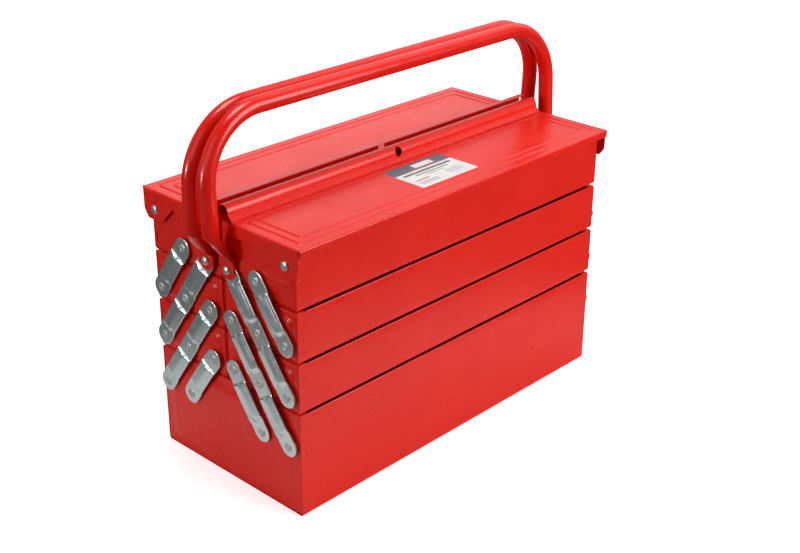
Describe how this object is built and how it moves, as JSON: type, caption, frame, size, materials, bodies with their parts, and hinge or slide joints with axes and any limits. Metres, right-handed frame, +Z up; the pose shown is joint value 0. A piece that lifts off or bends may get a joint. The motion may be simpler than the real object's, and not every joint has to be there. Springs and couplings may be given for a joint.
{
  "type": "cantilever tool box",
  "caption": "Sheet steel cantilever tool box: trays on riveted links swing out and up from a deep bottom bin, with hinged lids and two tube handles.",
  "frame": {"origin": "middle of the underside, halfway along the box", "axes": "+X along the box to its right end, -Y the front, +Z up"},
  "size_m": [0.492, 0.22, 0.3783],
  "materials": {
    "red_paint": "glossy red enamel on sheet steel",
    "handle_paint": "glossy red enamel on steel tube",
    "zinc_steel": "bright zinc plate",
    "rivet_steel": "plain steel rivets",
    "label": "matt film label, plain"
  },
  "bodies": {
    "bottom_bin": {"bottom_wrapper": "red_paint", "bottom_end_left": "red_paint", "bottom_end_right": "red_paint", "bottom_rivets": "rivet_steel"},
    "front_lower_tray": {"lower_tray_front": "red_paint", "lower_end_front_left": "red_paint", "lower_end_front_right": "red_paint", "lower_rivets_front": "rivet_steel"},
    "front_middle_tray": {"middle_tray_front": "red_paint", "middle_end_front_left": "red_paint", "middle_end_front_right": "red_paint", "middle_rivets_front": "rivet_steel"},
    "front_upper_tray": {"upper_tray_front": "red_paint", "upper_end_front_left": "red_paint", "upper_end_front_right": "red_paint", "upper_rivets_front": "rivet_steel", "handle_rivets_front": "rivet_steel", "hinge_rivets_front": "rivet_steel"},
    "front_main_links": {"main_link_front_left": "zinc_steel", "main_link_front_right": "zinc_steel"},
    "front_base_links": {"base_link_front_left": "zinc_steel", "base_link_front_right": "zinc_steel"},
    "front_top_links": {"top_link_front_left": "zinc_steel", "top_link_front_right": "zinc_steel"},
    "front_handle": {"handle_front": "handle_paint", "handle_link_front_left": "zinc_steel", "handle_link_front_right": "zinc_steel"},
    "front_lid": {"lid_front": "red_paint", "label": "label"},
    "rear_lower_tray": {"lower_tray_rear": "red_paint", "lower_end_rear_left": "red_paint", "lower_end_rear_right": "red_paint", "lower_rivets_rear": "rivet_steel"},
    "rear_middle_tray": {"middle_tray_rear": "red_paint", "middle_end_rear_left": "red_paint", "middle_end_rear_right": "red_paint", "middle_rivets_rear": "rivet_steel"},
    "rear_upper_tray": {"upper_tray_rear": "red_paint", "upper_end_rear_left": "red_paint", "upper_end_rear_right": "red_paint", "upper_rivets_rear": "rivet_steel", "handle_rivets_rear": "rivet_steel", "hinge_rivets_rear": "rivet_steel"},
    "rear_main_links": {"main_link_rear_left": "zinc_steel", "main_link_rear_right": "zinc_steel"},
    "rear_base_links": {"base_link_rear_left": "zinc_steel", "base_link_rear_right": "zinc_steel"},
    "rear_top_links": {"top_link_rear_left": "zinc_steel", "top_link_rear_right": "zinc_steel"},
    "rear_handle": {"handle_rear": "handle_paint", "handle_link_rear_left": "zinc_steel", "handle_link_rear_right": "zinc_steel"},
    "rear_lid": {"lid_rear": "red_paint"}
  },
  "joints": [
    {"name": "front_open", "type": "hinge", "parent": "bottom_bin", "child": "front_main_links", "pos_m": [0, -0.0882, 0.0737], "axis": [1, 0, 0], "range_deg": [0, 70.5]},
    {"name": "front_lower_tray_turn", "type": "hinge", "parent": "front_main_links", "child": "front_lower_tray", "pos_m": [0, -0.0516, 0.1253], "axis": [1, 0, 0], "range_deg": [-70.5, 0]},
    {"name": "front_middle_tray_turn", "type": "hinge", "parent": "front_main_links", "child": "front_middle_tray", "pos_m": [0, -0.015, 0.1769], "axis": [1, 0, 0], "range_deg": [-70.5, 0]},
    {"name": "front_base_links_turn", "type": "hinge", "parent": "bottom_bin", "child": "front_base_links", "pos_m": [0, -0.0516, 0.0737], "axis": [1, 0, 0], "range_deg": [0, 70.5]},
    {"name": "front_handle_turn", "type": "hinge", "parent": "front_lower_tray", "child": "front_handle", "pos_m": [0, -0.0882, 0.1253], "axis": [1, 0, 0], "range_deg": [0, 70.5]},
    {"name": "front_top_links_turn", "type": "hinge", "parent": "front_middle_tray", "child": "front_top_links", "pos_m": [0, -0.0882, 0.1769], "axis": [1, 0, 0], "range_deg": [0, 70.5]},
    {"name": "front_upper_tray_turn", "type": "hinge", "parent": "front_top_links", "child": "front_upper_tray", "pos_m": [0, -0.0516, 0.2285], "axis": [1, 0, 0], "range_deg": [-70.5, 0]},
    {"name": "front_lid_open", "type": "hinge", "parent": "front_upper_tray", "child": "front_lid", "pos_m": [0, -0.0906, 0.256], "axis": [1, 0, 0], "range_deg": [0, 93]},
    {"name": "rear_open", "type": "hinge", "parent": "bottom_bin", "child": "rear_main_links", "pos_m": [0, 0.0882, 0.0737], "axis": [-1, 0, 0], "range_deg": [0, 70.5]},
    {"name": "rear_lower_tray_turn", "type": "hinge", "parent": "rear_main_links", "child": "rear_lower_tray", "pos_m": [0, 0.0516, 0.1253], "axis": [-1, 0, 0], "range_deg": [-70.5, 0]},
    {"name": "rear_middle_tray_turn", "type": "hinge", "parent": "rear_main_links", "child": "rear_middle_tray", "pos_m": [0, 0.015, 0.1769], "axis": [-1, 0, 0], "range_deg": [-70.5, 0]},
    {"name": "rear_base_links_turn", "type": "hinge", "parent": "bottom_bin", "child": "rear_base_links", "pos_m": [0, 0.0516, 0.0737], "axis": [-1, 0, 0], "range_deg": [0, 70.5]},
    {"name": "rear_handle_turn", "type": "hinge", "parent": "rear_lower_tray", "child": "rear_handle", "pos_m": [0, 0.0882, 0.1253], "axis": [-1, 0, 0], "range_deg": [0, 70.5]},
    {"name": "rear_top_links_turn", "type": "hinge", "parent": "rear_middle_tray", "child": "rear_top_links", "pos_m": [0, 0.0882, 0.1769], "axis": [-1, 0, 0], "range_deg": [0, 70.5]},
    {"name": "rear_upper_tray_turn", "type": "hinge", "parent": "rear_top_links", "child": "rear_upper_tray", "pos_m": [0, 0.0516, 0.2285], "axis": [-1, 0, 0], "range_deg": [-70.5, 0]},
    {"name": "rear_lid_open", "type": "hinge", "parent": "rear_upper_tray", "child": "rear_lid", "pos_m": [0, 0.0906, 0.256], "axis": [-1, 0, 0], "range_deg": [0, 93]}
  ],
  "couplings": [
    {"joint": "front_lower_tray_turn", "follows": "front_open", "ratio": -1},
    {"joint": "front_middle_tray_turn", "follows": "front_open", "ratio": -1},
    {"joint": "front_base_links_turn", "follows": "front_open", "ratio": 1},
    {"joint": "front_handle_turn", "follows": "front_open", "ratio": 1},
    {"joint": "front_top_links_turn", "follows": "front_open", "ratio": 1},
    {"joint": "front_upper_tray_turn", "follows": "front_open", "ratio": -1},
    {"joint": "rear_lower_tray_turn", "follows": "rear_open", "ratio": -1},
    {"joint": "rear_middle_tray_turn", "follows": "rear_open", "ratio": -1},
    {"joint": "rear_base_links_turn", "follows": "rear_open", "ratio": 1},
    {"joint": "rear_handle_turn", "follows": "rear_open", "ratio": 1},
    {"joint": "rear_top_links_turn", "follows": "rear_open", "ratio": 1},
    {"joint": "rear_upper_tray_turn", "follows": "rear_open", "ratio": -1}
  ]
}
